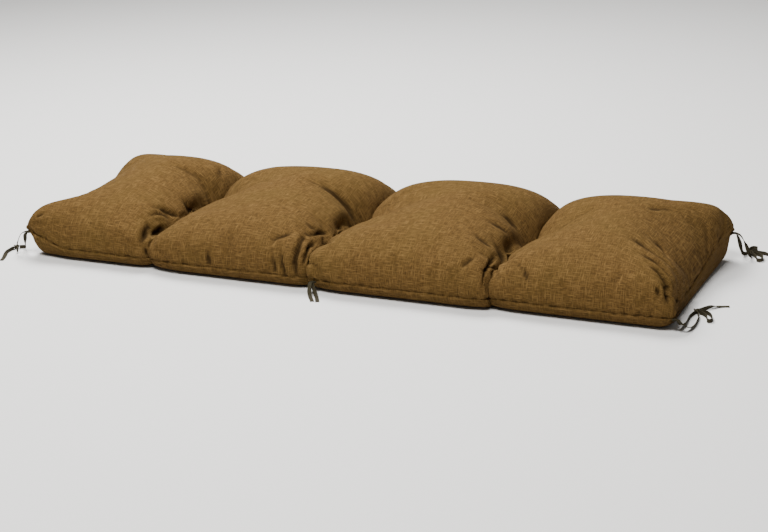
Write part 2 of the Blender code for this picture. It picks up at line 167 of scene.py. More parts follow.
def line_x(line, y):
    """X of an end seam or of a division at depth y."""
    if is_end(line):
        across = clamp(abs(y) / BACK_REACH)
        return math.copysign(LENGTH / 2 - END_BULGE - END_DRAW_IN * (1.0 - across ** 2), line - 1)
    front_x = -LENGTH / 2 + sum(section["width"] for section in SECTIONS[:line])
    return front_x + DIVISIONS[line - 1]["lean"] * (y + BACK_REACH) / (2 * BACK_REACH)


def seam_height(x, y):
    height = SEAM_HEIGHT
    for corner in CORNER_SEAMS:
        near = bell(x - corner["side"] * LENGTH / 2, CORNER_LIFT_REACH)
        near *= bell(y - corner["edge"] * BACK_REACH, 3 * CORNER_LIFT_REACH)
        height += (corner["height"] - SEAM_HEIGHT) * near
    return height


def front_share(y):
    """0 behind the front stretch of the divisions and 1 at the front edge."""
    return smooth((y - FRONT_VALLEY_START) / (FRONT_VALLEY_FULL - FRONT_VALLEY_START))


def line_height(line, x, y):
    """Height of the top panel on an end seam, or in a valley pulled down at its tufts."""
    if is_end(line):
        return seam_height(x, y)
    row = DIVISIONS[line - 1]
    height = mix(row["valley"], row["front_valley"], front_share(y))
    height = mix(height, row["front_height"], bell(y - row["front_tuft"], FRONT_TUFT_REACH))
    return mix(height, row["middle_height"], bell(y - row["middle_tuft"], TUFT_REACH))


def nearest_line(section, across):
    """The boundary on this side of the section's crest, and the share of the way from it to the crest."""
    crest = SECTIONS[section]["crest"]
    if across < crest:
        return section, across / crest
    return section + 1, (1.0 - across) / (1.0 - crest)


def flank_power(section, line, y):
    """How boxy a section is where it falls to a boundary."""
    near_corner = clamp(abs(y) / BACK_REACH)
    if line == 0 and y < 0.0:
        return mix(END_POWER, LEFT_FRONT_CORNER_POWER, near_corner ** LEFT_FRONT_CORNER_ONSET)
    if is_end(line):
        return mix(END_POWER, END_CORNER_POWER, near_corner ** END_CORNER_ONSET)
    middle = LEFT_FLANK_POWER if line == section else RIGHT_FLANK_POWER
    behind = mix(middle, BACK_FLANK_POWER, smooth(y / BACK_REACH))
    return mix(behind, FRONT_FLANK_POWER, front_share(y))


def edge_value(section, across, at_corner, along_edge):
    """A measure of the front and back edges, which changes towards the cushion's corners."""
    line, share = nearest_line(section, across)
    return mix(at_corner, along_edge, clamp(share * FROM_CORNER)) if is_end(line) else along_edge


def panel_height(section, across, x, y):
    row = SECTIONS[section]
    back_share = smooth((y - CROWN_FRONT) / (CROWN_BACK - CROWN_FRONT))
    crown = mix(row["crown_front"], row["crown_back"], back_share)
    line, share = nearest_line(section, across)
    return mix(line_height(line, x, y), crown, rise(share, flank_power(section, line, y)))


def draw_in(section, across):
    line, share = nearest_line(section, across)
    if is_end(line):
        from_end = share * SECTIONS[section]["width"] / 2
        return CORNER_TRIM * (1.0 - rise(from_end / CORNER_TRIM_REACH, 2.0))
    return DIVISIONS[line - 1]["groove"] * (1.0 - rise(share / GROOVE_SHARE, RIGHT_FLANK_POWER))


def end_bulge(section, across, y):
    line, share = nearest_line(section, across)
    if not is_end(line):
        return 0.0
    filled = rise(share, flank_power(section, line, y))
    return math.copysign(END_BULGE * math.sin(math.pi * clamp(filled / END_BULGE_TOP)), line - 1)


def top_point(section, across, angle):
    """A point of the top panel: angle 0 is the front seam, pi the back seam."""
    cosine = math.cos(angle)
    lift = math.sin(angle)
    reach = (SECTIONS[section]["front_reach"] if cosine > 0 else BACK_REACH) - draw_in(section, across)
    depth = reach * abs(cosine) ** (2.0 / edge_value(section, across, CORNER_POWER, EDGE_POWER))
    bulge = edge_value(section, across, CORNER_BULGE, EDGE_BULGE)
    depth += bulge * math.sin(math.pi * clamp(lift / EDGE_BULGE_TOP))
    y = -math.copysign(depth, cosine)
    x = mix(line_x(section, y), line_x(section + 1, y), across) + end_bulge(section, across, y)
    low = seam_height(x, y)
    return Vector((x, y, low + (panel_height(section, across, x, y) - low) * lift))


def under_height(x, y, front_y, back_y):
    """Height of the bottom panel: flat but for its round edge and the dimples of the tufts."""
    from_edge = min(y - front_y, back_y - y)
    from_end = LENGTH / 2 - abs(x)
    flat = rise(from_edge / UNDER_RADIUS, 2.0) * rise(from_end / UNDER_RADIUS, 2.0)
    z = seam_height(x, y) * (1.0 - flat)
    for line, row in enumerate(DIVISIONS, start=1):
        for tuft in (row["front_tuft"], row["middle_tuft"]):
            away = math.hypot(x - line_x(line, tuft), y - tuft)
            z = max(z, UNDER_DIMPLE * bell(away, TUFT_REACH))
    return z


def even_stops(point_at, step, fine, fine_end):
    """Shares from 0 to 1 of a curve, about 'step' apart and closer at both ends, and the lengths to them."""
    shares = np.linspace(0.0, 1.0, CURVE_SAMPLES)
    places = np.array([point_at(share) for share in shares])
    travelled = np.concatenate(([0.0], np.cumsum(np.linalg.norm(np.diff(places, axis=0), axis=1))))
    count = max(2, round((travelled[-1] - fine[-1] - fine_end[-1]) / step))
    middle = np.linspace(fine[-1], travelled[-1] - fine_end[-1], count + 1)
    wanted = np.concatenate((fine[:-1], middle, travelled[-1] - np.array(fine_end[-2::-1])))
    return np.interp(wanted, travelled, shares), wanted


EDGE_STOPS = (0.0, 0.0014, 0.0030, 0.0048, 0.0072, 0.0105, 0.0145, 0.0190)
LINE_STOPS = (0.0, 0.0030, 0.0062, 0.0096, 0.0133, 0.0172, 0.0214, 0.0258, 0.0305, 0.0354, 0.0406, 0.0460)

columns = []
column_u = []
travelled_u = 0.0
for section in range(len(SECTIONS)):
    stops = [EDGE_STOPS if is_end(line) else LINE_STOPS for line in (section, section + 1)]
    shares, lengths = even_stops(lambda share: top_point(section, share, math.pi / 2), CLOTH_STEP, *stops)
    first = 0 if section == 0 else 1
    columns += [(section, share) for share in shares[first:]]
    column_u += list(lengths[first:] + travelled_u)
    travelled_u += lengths[-1]
stops = [EDGE_STOPS, EDGE_STOPS]
row_shares, row_v = even_stops(lambda share: top_point(2, 0.5, math.pi * share), CLOTH_STEP, *stops)
row_angles = math.pi * row_shares
wide = len(columns)
high = len(row_angles)

top = np.array([[top_point(section, across, angle) for angle in row_angles] for section, across in columns])


def sheet_quads(index, flip=False):
    """Quads over a grid of vertex numbers."""
    quads = np.stack((index[:-1, :-1], index[1:, :-1], index[1:, 1:], index[:-1, 1:]), axis=-1).reshape(-1, 4)
    return quads[:, ::-1] if flip else quads


# the panels are cut larger than their seams need, most of all at the tufts and the right end, so the cloth
# puckers there once the filling swells it. Of the simulated movement, most of the puckers are kept, and more
# at the pinches. The broad swell is mostly given up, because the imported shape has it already
SPARE_CLOTH = 0.055
SPARE_AT_PINCHES = 0.110
TUFT_SPARE_REACH = 0.12
HELD_REACH = 0.014
HELD_FALL = 1.5
LEAST_WEIGHT = 0.01
FILLING_PRESSURE = 9.0
CLOTH_MASS = 0.3
CLOTH_STRETCH = 15.0
CLOTH_SHEAR = 5.0
CLOTH_BENDING = 0.35
SWELLING_STEPS = 20
MOST_MOVE = 0.012
BROAD_PASSES = 60
BROAD_SHARE = 0.10
PUCKER_SHARE = 0.65
PINCHED_PUCKER_SHARE = 1.25
PINCHES = (
    {"place": (0.690, -0.170, 0.100), "reach": 0.12},
    {"place": (0.700, -0.215, 0.050), "reach": 0.12},
    {"place": (0.690, 0.100, 0.110), "reach": 0.11},
    {"place": (-0.725, -0.200, 0.060), "reach": 0.08},
    {"place": (-0.700, 0.215, 0.080), "reach": 0.10},
)
TUFTS = [(line_x(line, row[tuft + "_tuft"]), row[tuft + "_tuft"], row[tuft + "_height"])
         for line, row in enumerate(DIVISIONS, start=1) for tuft in ("front", "middle")]


def calmed(sheet, passes):
    """A grid whose inner points are drawn to the mean of their four neighbours, this many times."""
    for _ in range(passes):
        calmer = sheet.copy()
        calmer[1:-1, 1:-1] = (sheet[:-2, 1:-1] + sheet[2:, 1:-1] + sheet[1:-1, :-2] + sheet[1:-1, 2:]) / 4
        sheet = calmer
    return sheet


def swelled(sheet):
    """The points of the top panel after the cloth is blown up between its seams and its tufts."""
    flat = sheet.reshape(-1, 3)
    rim = np.zeros(sheet.shape[:2], bool)
    rim[0] = rim[-1] = rim[:, 0] = rim[:, -1] = True
    held = rim.ravel().astype(float)
    spare = np.zeros(len(flat))
    for tuft in TUFTS:
        away = np.linalg.norm(flat - tuft, axis=1)
        held = np.maximum(held, np.clip(HELD_FALL - away / HELD_REACH, 0.0, 1.0))
        spare = np.maximum(spare, np.clip(1.0 - away / TUFT_SPARE_REACH, 0.0, 1.0))
    for pinch in PINCHES:
        away = np.linalg.norm(flat - np.array(pinch["place"]), axis=1)
        spare = np.maximum(spare, np.clip(1.0 - away / pinch["reach"], 0.0, 1.0))
    mesh = bpy.data.meshes.new("panel_in_swelling")
    mesh.from_pydata(flat.tolist(), [], sheet_quads(np.arange(len(flat)).reshape(rim.shape)).tolist())
    panel = placed("panel_in_swelling", mesh)
    for name, weights in (("held", held), ("spare", spare)):
        group = panel.vertex_groups.new(name=name)
        for index in np.nonzero(weights > LEAST_WEIGHT)[0]:
            group.add([int(index)], float(weights[index]), "REPLACE")
    filling = panel.modifiers.new("filling", "CLOTH")
    set_up = filling.settings
    set_up.quality = 5
    set_up.mass = CLOTH_MASS
    set_up.tension_stiffness = CLOTH_STRETCH
    set_up.compression_stiffness = CLOTH_STRETCH
    set_up.shear_stiffness = CLOTH_SHEAR
    set_up.bending_stiffness = CLOTH_BENDING
    set_up.use_pressure = True
    set_up.uniform_pressure_force = FILLING_PRESSURE
    set_up.effector_weights.gravity = 0.0
    set_up.vertex_group_mass = "held"
    set_up.vertex_group_shrink = "spare"
    set_up.shrink_min = -SPARE_CLOTH
    set_up.shrink_max = -SPARE_AT_PINCHES
    filling.collision_settings.use_collision = False
    filling.point_cache.frame_start = 1
    filling.point_cache.frame_end = SWELLING_STEPS + 1
    for frame_number in range(1, SWELLING_STEPS + 1):
        bpy.context.scene.frame_set(frame_number)
    evaluated = panel.evaluated_get(bpy.context.evaluated_depsgraph_get())
    moved = np.empty(len(flat) * 3)
    evaluated.to_mesh().vertices.foreach_get("co", moved)
    evaluated.to_mesh_clear()
    bpy.data.objects.remove(panel, do_unlink=True)
    bpy.context.scene.frame_set(1)
    move = moved.reshape(sheet.shape) - sheet
    broad = calmed(np.where(rim[:, :, None], 0.0, move), BROAD_PASSES)
    pucker_share = mix(PUCKER_SHARE, PINCHED_PUCKER_SHARE, spare.reshape(rim.shape))[:, :, None]
    move = broad * BROAD_SHARE + (move - broad) * pucker_share
    size = np.linalg.norm(move, axis=2, keepdims=True)
    return sheet + move * MOST_MOVE * np.tanh(size / MOST_MOVE) / np.maximum(size, 1e-9)


top = swelled(top)

# the folds that the filling and the stitches leave in the cloth, each along a path on the panel: metres from
# its left end and from its front seam
FOLDS = (
    {"path": ((0.377, 0.213), (0.366, 0.198), (0.343, 0.185), (0.327, 0.173), (0.312, 0.150)),
     "width": 0.0090, "depth": 0.0065},
    {"path": ((0.363, 0.180), (0.350, 0.172), (0.338, 0.154), (0.326, 0.124)),
     "width": 0.0085, "depth": 0.0060},
    {"path": ((0.349, 0.104), (0.354, 0.064), (0.349, 0.036)), "width": 0.0150, "depth": 0.0170},
    {"path": ((0.381, 0.142), (0.370, 0.105), (0.372, 0.065)), "width": 0.0115, "depth": 0.0140},
    {"path": ((0.374, 0.010), (0.370, 0.030), (0.358, 0.052)), "width": 0.0100, "depth": 0.0080},
    {"path": ((0.332, 0.461), (0.350, 0.440), (0.372, 0.418)), "width": 0.0095, "depth": 0.0045},
    {"path": ((0.377, 0.268), (0.358, 0.263), (0.337, 0.262)), "width": 0.0130, "depth": 0.0060},
    {"path": ((0.392, 0.120), (0.412, 0.085), (0.430, 0.040)), "width": 0.0095, "depth": 0.0055},
    {"path": ((0.576, 0.008), (0.573, 0.026), (0.567, 0.056)), "width": 0.0100, "depth": 0.0065},
    {"path": ((0.808, 0.336), (0.767, 0.340), (0.741, 0.340), (0.706, 0.341)),
     "width": 0.0120, "depth": 0.0070},
    {"path": ((0.736, 0.008), (0.731, 0.035), (0.723, 0.062)), "width": 0.0095, "depth": 0.0090},
    {"path": ((0.760, 0.010), (0.750, 0.046), (0.746, 0.080)), "width": 0.0080, "depth": 0.0055},
    {"path": ((0.796, 0.012), (0.791, 0.058), (0.786, 0.098), (0.788, 0.140)),
     "width": 0.0115, "depth": 0.0150},
    {"path": ((0.816, 0.182), (0.806, 0.150), (0.788, 0.130)), "width": 0.0095, "depth": 0.0105},
    {"path": ((0.808, 0.172), (0.784, 0.160), (0.740, 0.174)), "width": 0.0120, "depth": 0.0060},
    {"path": ((0.752, 0.110), (0.722, 0.088), (0.710, 0.060)), "width": 0.0100, "depth": 0.0050},
    {"path": ((0.818, 0.120), (0.820, 0.075), (0.828, 0.030)), "width": 0.0090, "depth": 0.0110},
    {"path": ((0.850, 0.150), (0.880, 0.165), (0.930, 0.172)), "width": 0.0120, "depth": 0.0040},
    {"path": ((0.842, 0.060), (0.866, 0.050), (0.892, 0.048)), "width": 0.0090, "depth": 0.0040},
    {"path": ((1.262, 0.326), (1.239, 0.329), (1.215, 0.331)), "width": 0.0105, "depth": 0.0050},
    {"path": ((1.278, 0.262), (1.226, 0.254), (1.192, 0.257)), "width": 0.0130, "depth": 0.0060},
    {"path": ((1.270, 0.168), (1.229, 0.173), (1.195, 0.190)), "width": 0.0130, "depth": 0.0060},
    {"path": ((1.322, 0.108), (1.306, 0.100), (1.286, 0.108)), "width": 0.0080, "depth": 0.0080},
    {"path": ((1.290, 0.150), (1.296, 0.100), (1.300, 0.060), (1.302, 0.020)),
     "width": 0.0090, "depth": 0.0090},
    {"path": ((1.340, 0.104), (1.366, 0.060), (1.372, 0.030)), "width": 0.0090, "depth": 0.0050},
    {"path": ((1.250, 0.110), (1.228, 0.075), (1.222, 0.040)), "width": 0.0100, "depth": 0.0045},
    {"path": ((1.730, 0.222), (1.692, 0.216), (1.658, 0.215), (1.605, 0.213)),
     "width": 0.0165, "depth": 0.0110},
    {"path": ((1.712, 0.252), (1.681, 0.270), (1.655, 0.286)), "width": 0.0120, "depth": 0.0090},
    {"path": ((1.744, 0.157), (1.693, 0.172), (1.635, 0.170)), "width": 0.0130, "depth": 0.0100},
    {"path": ((1.750, 0.112), (1.711, 0.135), (1.665, 0.142)), "width": 0.0110, "depth": 0.0095},
    {"path": ((1.756, 0.080), (1.729, 0.105), (1.708, 0.121)), "width": 0.0105, "depth": 0.0095},
    {"path": ((1.601, 0.376), (1.626, 0.394), (1.658, 0.389)), "width": 0.0140, "depth": 0.0045},
    {"path": ((1.718, 0.080), (1.733, 0.050)), "width": 0.0085, "depth": 0.0110},
    {"path": ((1.746, 0.112), (1.752, 0.071), (1.757, 0.036)), "width": 0.0120, "depth": 0.0150},
    {"path": ((1.424, 0.082), (1.440, 0.059), (1.454, 0.042)), "width": 0.0100, "depth": 0.0050},
    {"path": ((1.408, 0.100), (1.416, 0.088), (1.425, 0.078)), "width": 0.0090, "depth": 0.0035},
    {"path": ((0.048, 0.063), (0.066, 0.082), (0.090, 0.092)), "width": 0.0110, "depth": 0.0045},
    {"path": ((0.030, 0.040), (0.060, 0.048), (0.110, 0.050)), "width": 0.0110, "depth": 0.0040},
    {"path": ((0.386, 0.250), (0.384, 0.310), (0.380, 0.390)), "width": 0.0300, "depth": 0.0130},
    {"path": ((0.836, 0.215), (0.832, 0.285), (0.828, 0.370)), "width": 0.0340, "depth": 0.0150},
    {"path": ((1.302, 0.190), (1.302, 0.245), (1.296, 0.340)), "width": 0.0340, "depth": 0.0150},
)
FOLD_START = 0.35
FOLD_RISE = 0.3
FOLD_FALL = 0.6
FOLD_ROLL = 0.9
FOLD_SPREAD = 1.3
FOLD_FROM_SEAM = 0.012
LOWEST_CLOTH = 0.001
UNDER_EVEN_SHARE = 0.6


def fold_depth(u, v, fold):
    """How deep a fold presses each place of the cloth, with the low rolls at both of its sides."""
    path = np.array(fold["path"])
    spans = np.linalg.norm(np.diff(path, axis=0), axis=1)
    starts = np.concatenate(([0.0], np.cumsum(spans)))
    nearest = np.full(u.shape, 1e9)
    along = np.zeros(u.shape)
    for a, b, start_at, span in zip(path[:-1], path[1:], starts, spans):
        share = np.clip(((u - a[0]) * (b[0] - a[0]) + (v - a[1]) * (b[1] - a[1])) / span ** 2, 0.0, 1.0)
        away = np.hypot(u - a[0] - share * (b[0] - a[0]), v - a[1] - share * (b[1] - a[1]))
        along = np.where(away < nearest, start_at + share * span, along)
        nearest = np.minimum(away, nearest)
    share = along / starts[-1]
    fade = np.clip(FOLD_START + share / FOLD_RISE, 0.0, 1.0) * np.clip((1.0 - share) / FOLD_FALL, 0.0, 1.0)
    t = nearest / fold["width"]
    return fold["depth"] * fade * (1.0 - FOLD_ROLL * t * t) * np.exp(-FOLD_SPREAD * t * t)


def sheet_normals(sheet):
    along_u = np.gradient(sheet, axis=0)
    along_v = np.gradient(sheet, axis=1)
    normals = np.cross(along_u, along_v)
    return normals / np.maximum(np.linalg.norm(normals, axis=2, keepdims=True), 1e-12)


u_at, v_at = np.meshgrid(np.array(column_u), row_v, indexing="ij")
fold_total = sum(fold_depth(u_at, v_at, fold) for fold in FOLDS)
fold_total *= np.clip(np.minimum(v_at, row_v[-1] - v_at) / FOLD_FROM_SEAM, 0.0, 1.0)
top = top - sheet_normals(top) * fold_total[:, :, None]
top[:, :, 2] = np.maximum(top[:, :, 2], LOWEST_CLOTH)

end_shares = (top[0, :, 1] - top[0, 0, 1]) / (top[0, -1, 1] - top[0, 0, 1])
end_shares = np.clip(np.maximum.accumulate(end_shares), 0.0, 1.0)
under_shares = mix(end_shares, row_v / row_v[-1], UNDER_EVEN_SHARE)
under = np.empty_like(top)
for column, (section, across) in enumerate(columns):
    front_y = top[column, 0, 1]
    back_y = top[column, -1, 1]
    for row, share in enumerate(under_shares):
        y = mix(front_y, back_y, share)
        x = mix(line_x(section, y), line_x(section + 1, y), across)
        under[column, row] = (x, y, under_height(x, y, front_y, back_y))

# the seam stands out as a thin lip, with a groove beside it in both panels
SEAM_LIP = 0.0024
SEAM_LIP_WIDTH = 0.0036
SEAM_GROOVE = 0.0019
SEAM_GROOVE_AT = 0.0050
SEAM_GROOVE_WIDTH = 0.0024
UNDER_GROOVE_SHARE = 0.8
RIMS = (
    {"rim": top[:, 0], "side": 1.0, "away": v_at},
    {"rim": top[:, -1], "side": -1.0, "away": row_v[-1] - v_at},
    {"rim": top[0], "side": -1.0, "away": u_at},
    {"rim": top[-1], "side": 1.0, "away": column_u[-1] - u_at},
)
lip = np.zeros_like(top)
for edge in RIMS:
    along = np.gradient(edge["rim"], axis=0)
    outward = np.stack((along[:, 1], -along[:, 0], np.zeros(len(along))), axis=-1) * edge["side"]
    outward /= np.linalg.norm(outward, axis=1, keepdims=True)
    outward = outward[:, None] if len(outward) == wide else outward[None]
    lip += outward * SEAM_LIP * np.clip(1.0 - edge["away"] / SEAM_LIP_WIDTH, 0.0, 1.0)[:, :, None]
lip *= SEAM_LIP / np.maximum(np.linalg.norm(lip, axis=2, keepdims=True), SEAM_LIP)
from_rim = np.min([edge["away"] for edge in RIMS], axis=0)
groove = SEAM_GROOVE * np.exp(-((from_rim - SEAM_GROOVE_AT) / SEAM_GROOVE_WIDTH) ** 2)
top = top + lip - sheet_normals(top) * groove[:, :, None]
under = under + lip + groove[:, :, None] * np.array((0.0, 0.0, UNDER_GROOVE_SHARE))
under[0] = top[0]
under[-1] = top[-1]
under[:, 0] = top[:, 0]
under[:, -1] = top[:, -1]

# how deep each place lies below the cloth around it, and how deep inside a narrow fold: painted shade, which
# darkens the cloth's colour in its folds and pits where the real cloth is only shaded
CREASE_SPREAD = 8
CREASE_DEPTH = 0.0040
NARROW_FOLD = 0.020
DARK_FOLD_DEPTH = 0.015


def crease_share(sheet):
    """0 on open cloth and 1 in the bottom of a deep fold."""
    below = np.sum((calmed(sheet, CREASE_SPREAD) - sheet) * sheet_normals(sheet), axis=2)
    return np.clip(below / CREASE_DEPTH, 0.0, 1.0)


# vertex numbers of both panels: the bottom panel shares the whole edge seam with the top one
top_index = np.arange(wide * high).reshape(wide, high)
under_index = top_index.copy()
under_index[1:-1, 1:-1] = wide * high + np.arange((wide - 2) * (high - 2)).reshape(wide - 2, high - 2)
points = np.concatenate((top.reshape(-1, 3), under[1:-1, 1:-1].reshape(-1, 3)))
quads = np.concatenate((sheet_quads(top_index), sheet_quads(under_index, flip=True)))
cushion_mesh = bpy.data.meshes.new("cushion_cloth")
cushion_mesh.from_pydata(points.tolist(), [], quads.tolist())
weave_u = np.repeat(np.array(column_u), high)
weave_v = np.tile(row_v, wide)
under_u = np.repeat(np.array(column_u)[1:-1], high - 2)
under_v = np.tile(-row_v[1:-1], wide - 2)
weave = np.stack((np.concatenate((weave_u, under_u)), np.concatenate((weave_v, under_v))), axis=-1)
loop_verts = np.array([loop.vertex_index for loop in cushion_mesh.loops])
uv = cushion_mesh.uv_layers.new(name="weave")
uv.data.foreach_set("uv", weave[loop_verts].astype(np.float32).ravel())
# painted shade: the narrow folds are darkened over their walls as well as their bottoms, and the bottom panel
# in its own hollows
narrow_folds = sum(fold_depth(u_at, v_at, fold) for fold in FOLDS if fold["width"] < NARROW_FOLD)
top_painted_shade = np.clip(crease_share(top) + np.maximum(narrow_folds, 0.0) / DARK_FOLD_DEPTH, 0.0, 1.0)
painted_shade_amounts = np.concatenate((top_painted_shade.ravel(), crease_share(under * (1, 1, -1))[1:-1, 1:-1].ravel()))
painted_shade_attribute = cushion_mesh.attributes.new("fold_painted_shade", "FLOAT", "POINT")
painted_shade_attribute.data.foreach_set("value", painted_shade_amounts.astype(np.float32))
cushion_mesh.shade_smooth()
cushion = placed("cushion_cloth", cushion_mesh)


class Shade:
    """A socket in a material's node tree. Arithmetic on it adds Math nodes."""

    def __init__(self, tree, socket=None):
        self.tree = tree
        self.socket = socket

    def node(self, kind, settings=None, sockets=None, out=0):
        """Adds a node, sets its settings and then the values or links of its sockets."""
        made = self.tree.nodes.new(kind)
        for name, value in (settings or {}).items():
            setattr(made, name, value)
        for key, value in (sockets or {}).items():
            if isinstance(value, Shade):
                value.feed(made.inputs[key])
            else:
                made.inputs[key].default_value = value
        return Shade(self.tree, made.outputs[out])

    def feed(self, target):
        """Links this socket to the one that it feeds."""
        self.tree.links.new(self.socket, target)

    def math(self, operation, *values):
        return self.node("ShaderNodeMath", {"operation": operation}, dict(enumerate(values)))

    def blend(self, a, b):
        """Colour a where this is 0 and b where it is 1."""
        return self.node("ShaderNodeMix", {"data_type": "RGBA"}, {0: self, 6: a, 7: b}, 2)

    def between(self, low, high):
        """0 up to low and 1 from high on."""
        return self.node("ShaderNodeMapRange", {}, {0: self, 1: low, 2: high, 3: 0.0, 4: 1.0})

    def __add__(self, other):
        return self.math("ADD", self, other)

    def __radd__(self, other):
        return self.math("ADD", other, self)

    def __mul__(self, other):
        return self.math("MULTIPLY", self, other)

    def __rmul__(self, other):
        return self.math("MULTIPLY", other, self)


def new_material(name, plain):
    """A material, its Principled shader with these plain values, and a handle on its tree."""
    material = bpy.data.materials.new(name)
    material.use_nodes = True
    shader = material.node_tree.nodes["Principled BSDF"]
    for socket, value in plain.items():
        shader.inputs[socket].default_value = value
    return material, shader, Shade(material.node_tree)


def stretched_noise(start, place, scale, detail=2.0, seed=0.0):
    """Noise that runs at its own scale along U and along V, as the threads of a weave do."""
    moved = start.node("ShaderNodeMapping", {}, {"Vector": place, "Scale": (*scale, 1.0),
                                                 "Location": (seed, seed * 0.7, seed * 1.3)})
    return start.node("ShaderNodeTexNoise", {"noise_dimensions": "2D"},
                      {"Vector": moved, "Scale": 1.0, "Detail": detail, "Roughness": 0.6})


# how finely the cloth changes along a yarn and across it, in cycles to a metre
YARNS = (80.0, 600.0)
SLUBS = (36.0, 460.0)
THREADS = (160.0, 1250.0)
PATCHES = (7.0, 7.0)
OLIVE_SHARE = 0.45
TAN_SHARE = 0.52
# painted shade: the share by which folds and pits are darkened towards a dark brown
FOLD_PAINTED_SHADE_SHARE = 0.80
WEAVE_RELIEF = 0.0012
DARK_YARN = (0.052, 0.0280, 0.0083, 1.0)
BROWN_YARN = (0.100, 0.0550, 0.0162, 1.0)
TAN_YARN = (0.215, 0.1265, 0.0430, 1.0)
OLIVE_YARN = (0.076, 0.0462, 0.0118, 1.0)
# painted shade colour for the folds and pits, not a colour of the cloth itself
FOLD_PAINTED_SHADE_COLOUR = (0.016, 0.0085, 0.0028, 1.0)

cloth, shader, start = new_material("linen_cloth", {"Roughness": 1.0, "Specular IOR Level": 0.05})
place = start.node("ShaderNodeUVMap", {"uv_map": "weave"})
weft = stretched_noise(start, place, YARNS, detail=1.0, seed=1.7)
warp = stretched_noise(start, place, YARNS[::-1], detail=1.0, seed=5.3)
weft_slub = stretched_noise(start, place, SLUBS, seed=9.1)
warp_slub = stretched_noise(start, place, SLUBS[::-1], seed=3.9)
patches = stretched_noise(start, place, PATCHES, detail=3.0, seed=2.2)
tone = (weft + warp) * 0.5
base = tone.between(0.40, 0.60).blend(DARK_YARN, BROWN_YARN)
base = (patches.between(0.40, 0.70) * OLIVE_SHARE).blend(base, OLIVE_YARN)
light_yarn = start.math("MAXIMUM", weft_slub.between(0.50, 0.74), warp_slub.between(0.52, 0.76))
colour = (light_yarn * TAN_SHARE).blend(base, TAN_YARN)
# painted shade: the cloth's colour is darkened towards a dark brown in its folds and pits, by the attribute
# that the cushion mesh carries
fold_painted_shade = start.node("ShaderNodeAttribute", {"attribute_name": "fold_painted_shade"}, out=2)
colour = (fold_painted_shade.between(0.12, 0.85) * FOLD_PAINTED_SHADE_SHARE).blend(colour, FOLD_PAINTED_SHADE_COLOUR)
colour.feed(shader.inputs["Base Color"])
threads = stretched_noise(start, place, THREADS, seed=4.4)
threads = threads + stretched_noise(start, place, THREADS[::-1], seed=6.6)
relief = threads * 0.5 + light_yarn * 0.3 + tone * 0.6
bump = start.node("ShaderNodeBump", {}, {"Strength": 0.6, "Distance": WEAVE_RELIEF, "Height": relief})
bump.feed(shader.inputs["Normal"])
cushion_mesh.materials.append(cloth)

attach(cushion, "root")
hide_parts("cushion")


# ------------------------------------------------------------ tuft stitches
# Strong thread is passed up and down through both panels and the filling at each tuft and pulled tight. It
# shows as a short bar of close stitches, on the top in the bottom of each pinch and on the underside.
TACK_LENGTH = 0.014
TACK_SPANS = 4
STITCH_STEP = 0.0012
STITCH_LENGTH = 0.0052
STITCH_RISE = 0.0004
THREAD_THICKNESS = 0.0011
THREAD_COLOUR = (0.070, 0.042, 0.016, 1.0)

thread_finish = {"Base Color": THREAD_COLOUR, "Roughness": 0.7, "Specular IOR Level": 0.2}
thread = new_material("sewing_thread", thread_finish)[0]

tack_points = []
tack_edges = []
for sheet, above in ((top, STITCH_RISE), (under, -STITCH_RISE)):
    for line, row in enumerate(DIVISIONS, start=1):
        column = next(index for index, place in enumerate(columns) if place == (line - 1, 1.0))
        for tuft in (row["front_tuft"], row["middle_tuft"]):
            ys = sheet[column, :, 1]
            for step in range(TACK_SPANS + 1):
                y = tuft + TACK_LENGTH * (step / TACK_SPANS - 0.5)
                spot = [float(np.interp(y, ys, sheet[column, :, axis])) for axis in range(3)]
                tack_points.append((spot[0], spot[1], spot[2] + above))
                if step:
                    tack_edges.append((len(tack_points) - 2, len(tack_points) - 1))
tack_mesh = bpy.data.meshes.new("tack_lines")
tack_mesh.from_pydata(tack_points, tack_edges, [])
tack_lines = placed("tack_lines", tack_mesh)

sewing = bpy.data.node_groups.new("sewing_along_lines", "GeometryNodeTree")
sewing.is_modifier = True
sewing.interface.new_socket("Lines", in_out="INPUT", socket_type="NodeSocketGeometry")
inputs = {}
for name, value in (("Step", STITCH_STEP), ("Length", STITCH_LENGTH), ("Thickness", THREAD_THICKNESS)):
    socket = sewing.interface.new_socket(name, in_out="INPUT", socket_type="NodeSocketFloat")
    inputs[socket.identifier] = value
sewing.interface.new_socket("Stitches", in_out="OUTPUT", socket_type="NodeSocketGeometry")
begin = Shade(sewing)
entry = begin.node("NodeGroupInput").socket.node
lines, step, length, thickness = (Shade(sewing, socket) for socket in list(entry.outputs)[:4])
curve = begin.node("GeometryNodeMeshToCurve", {}, {"Mesh": lines})
curve = begin.node("GeometryNodeSetCurveNormal", {"mode": "Z_UP"}, {"Curve": curve})
spots = begin.node("GeometryNodeCurveToPoints", {"mode": "LENGTH"}, {"Curve": curve, "Length": step})
turn = Shade(sewing, spots.socket.node.outputs["Rotation"])
bead = begin.node("GeometryNodeMeshUVSphere", {}, {"Segments": 8, "Rings": 5, "Radius": 0.5})
sizes = begin.node("ShaderNodeCombineXYZ", {}, {"X": length, "Y": thickness, "Z": thickness})
stitches = begin.node("GeometryNodeInstanceOnPoints", {},
                      {"Points": spots, "Instance": bead, "Rotation": turn, "Scale": sizes})
stitches = begin.node("GeometryNodeRealizeInstances", {}, {"Geometry": stitches})
stitches = begin.node("GeometryNodeSetMaterial", {}, {"Geometry": stitches, "Material": thread})
stitches.feed(sewing.nodes.new("NodeGroupOutput").inputs[0])

